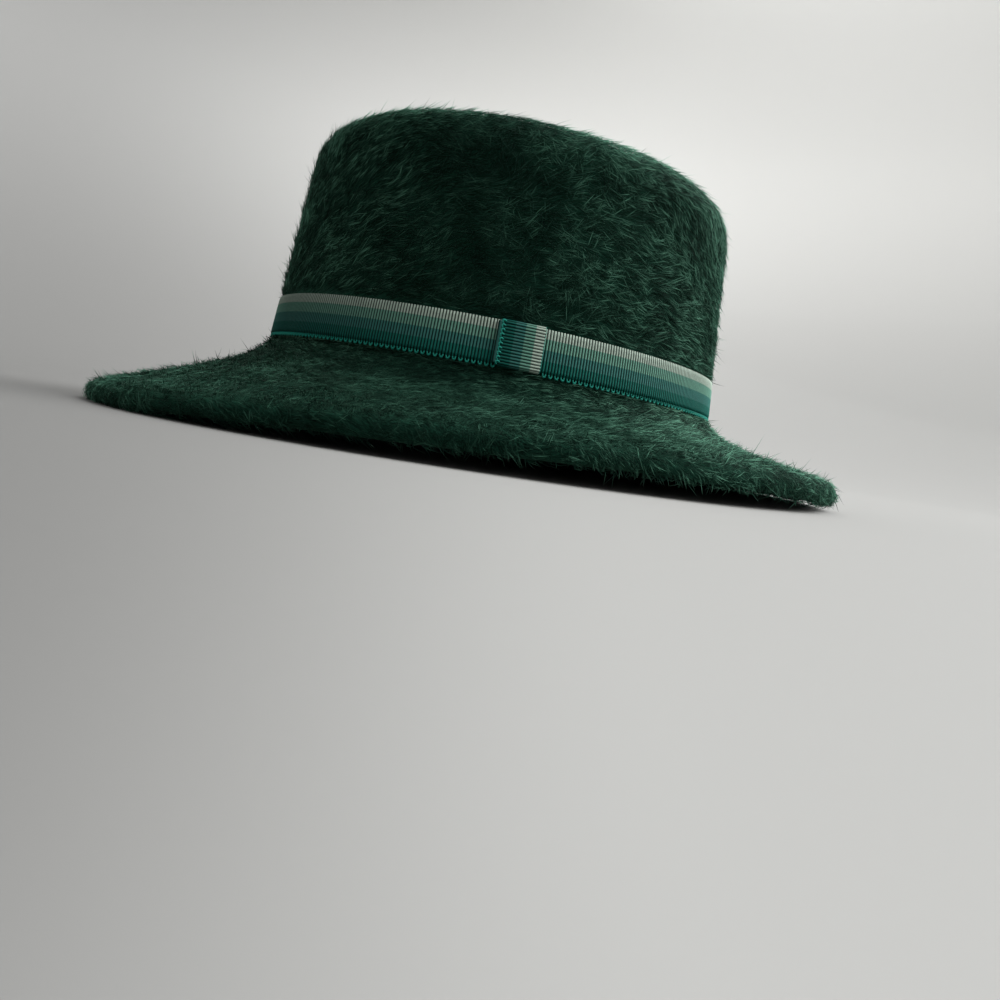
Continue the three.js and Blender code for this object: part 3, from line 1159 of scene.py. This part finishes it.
# the band's folded end, which stands in front of the keeper
def buildFold():
    width = keeper["foldWidth"] / (felt["halfLength"] + keeper["inner"])
    end = keeperStart - keeper["gap"] / (felt["halfLength"] + keeper["inner"])
    rows, columns = keeper["foldGrid"]
    share = np.linspace(0, 1, columns)
    angle = end - width + share * width
    swell = np.sqrt(np.maximum(1 - (2 * share - 1) ** 2, 0))
    height = np.linspace(ribbon["height"] - keeper["gap"], keeper["gap"], rows)[:, None]
    outer = keeper["inner"] + keeper["foldThickness"] * mixed(keeper["foldEdge"], 1, swell)
    outerGrid = onCrown(angle, outer, height)
    innerGrid = onCrown(angle, keeper["inner"], height)
    piece = slab("ribbon_fold", outerGrid, innerGrid, False, [ribbonCloth])
    # the fold's sides are painted darker, as the hollows between ribs are, and the whole fold
    # carries full painted shade
    ribs = np.tile(swell**2, 2 * rows)
    stripe = np.full(len(ribs), keeper["foldStripe"])
    addValues(piece, "weave", np.stack([stripe, ribs, np.ones(len(ribs))], axis=-1))
    return piece


bandPiece, bandLoops, bandLength = buildBand()
keeperPiece, keeperLoops, keeperLength = buildKeeper()
foldPiece = buildFold()
for piece in (bandPiece, bandLoops, keeperPiece, keeperLoops, foldPiece):
    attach(piece, "root")
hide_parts("hat_band")
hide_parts("band_keeper")
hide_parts("band_fold")
say("ribbon made")

# Last come the floor, the lights and the camera.

studio = {
    "floorRings": (0.02, 0.25, 0.6),
    "floorRadius": 0.9,
    "sweepRadius": 2.0,
    "wallHeight": 3.0,
    # the floor and wall are painted darker to the left and lighter to the right round the camera's
    # place: painted shade and painted light
    "floorShadedLeft": colour(0.165, 0.165, 0.161),
    "floorLitRight": colour(0.335, 0.335, 0.327),
    "wallShadedLeft": colour(0.262, 0.262, 0.257),
    "wallLitRight": colour(0.82, 0.82, 0.80),
    "spread": (-0.54, 0.33),
    "middle": (0.345, -0.025),
    "soft": 0.02,
    "blendHeight": 1.3,
    "cloudRise": 0.02,
    "rough": (0.7, 0.05),
    "around": 96,
    "sweepSteps": 24,
    "worldStrength": 0.36,
}


def buildFloor():
    count, sweep = studio["around"], studio["sweepRadius"]
    profile = [(radius, 0.0) for radius in studio["floorRings"]]
    for turn in np.linspace(0, math.pi / 2, studio["sweepSteps"] + 1):
        radius = studio["floorRadius"] + sweep * math.sin(turn)
        profile.append((radius, sweep * (1 - math.cos(turn))))
    profile.append((studio["floorRadius"] + sweep, studio["wallHeight"]))
    angle = roundAngles(count)
    rings = []
    for radius, height in profile:
        x, y = radius * np.cos(angle), radius * np.sin(angle)
        rings.append(np.stack([x, y, np.full(count, height)], axis=-1))
    points = np.concatenate([[[0.0, 0.0, 0.0]], np.concatenate(rings)])
    quads = gridQuads(len(rings), count, True, 1)[:, ::-1]

    def build(pen):
        place = pen.place()
        middleX, middleY = studio["middle"]
        depth = middleX - place.part("X")
        beside = place.part("Y") - middleY
        aside = beside / (depth * depth + beside * beside + studio["soft"] ** 2) ** 0.5
        cloud = place.noise(2.0, 2.0)
        # painted shade to the left and painted light to the right, by the angle round a point where
        # the camera stands
        tone = aside.between(*studio["spread"])
        wall = tone.blend(studio["wallShadedLeft"], studio["wallLitRight"])
        ground = tone.blend(studio["floorShadedLeft"], studio["floorLitRight"])
        rise = place.part("Z") + cloud * studio["cloudRise"]
        shade = rise.between(0.0, studio["blendHeight"]).blend(ground, wall)
        return shade, rising(studio["rough"], cloud), cloud

    material = makeMaterial("paleFloor", build, 0.0001, {"Specular IOR Level": 0.1})
    floor = makeMesh("floor", points, quads, fan(0, 1, count), [material])
    floor.visible_shadow = False


keyLight = {"from": (0.05, 0.75, 0.71), "strength": 5.1, "softness": 50}
topLight = {"from": (0.10, -0.10, 0.99), "strength": 1.1, "softness": 110}
wallLight = {
    "at": (-1.6, 1.0, 3.2),
    "aim": (-2.45, 1.7, 2.0),
    "size": 1.2,
    "power": 10.0,
    "spread": 150,
}


def aimed(item, place, target, roll=0.0):
    direction = Vector(target) - Vector(place)
    turn = direction.to_track_quat("-Z", "Y").to_matrix().to_4x4()
    item.matrix_world = Matrix.Translation(place) @ turn @ Matrix.Rotation(roll, 4, "Z")


def buildStudio():
    buildFloor()
    lights = []
    for name, values in (("key", keyLight), ("top", topLight)):
        sun = bpy.data.lights.new(name, "SUN")
        sun.energy = values["strength"]
        sun.angle = math.radians(values["softness"])
        lights.append((sun, values["from"], (0, 0, 0)))
    wash = bpy.data.lights.new("wall", "AREA")
    wash.shape = "DISK"
    wash.size = wallLight["size"]
    wash.energy = wallLight["power"]
    wash.spread = math.radians(wallLight["spread"])
    lights.append((wash, wallLight["at"], wallLight["aim"]))
    for data, place, aim in lights:
        aimed(addItem(data.name, data), place, aim)
    world = bpy.data.worlds.new("studio")
    world.use_nodes = True
    sky = world.node_tree.nodes["Background"].inputs
    sky["Color"].default_value = colour(1.0, 1.0, 1.0)
    sky["Strength"].default_value = studio["worldStrength"]
    bpy.context.scene.world = world


camera = {
    "at": (0.3428, -0.0252, 0.012),
    "aim": (0.0, 0.0106, 0.0318),
    "roll": 8.83,
    "lens": 26.0,
    "sensor": 36.0,
    "shift": -0.1115,
    "nearest": 0.0005,
}


def buildCamera():
    data = bpy.data.cameras.new("camera")
    data.lens = camera["lens"]
    data.sensor_width = camera["sensor"]
    data.shift_y = camera["shift"]
    data.clip_start = camera["nearest"]
    item = addItem("camera", data)
    aimed(item, camera["at"], camera["aim"], math.radians(camera["roll"]))
    bpy.context.scene.camera = item
    bpy.context.scene.view_settings.view_transform = "Standard"


buildStudio()
buildCamera()
say("studio made")
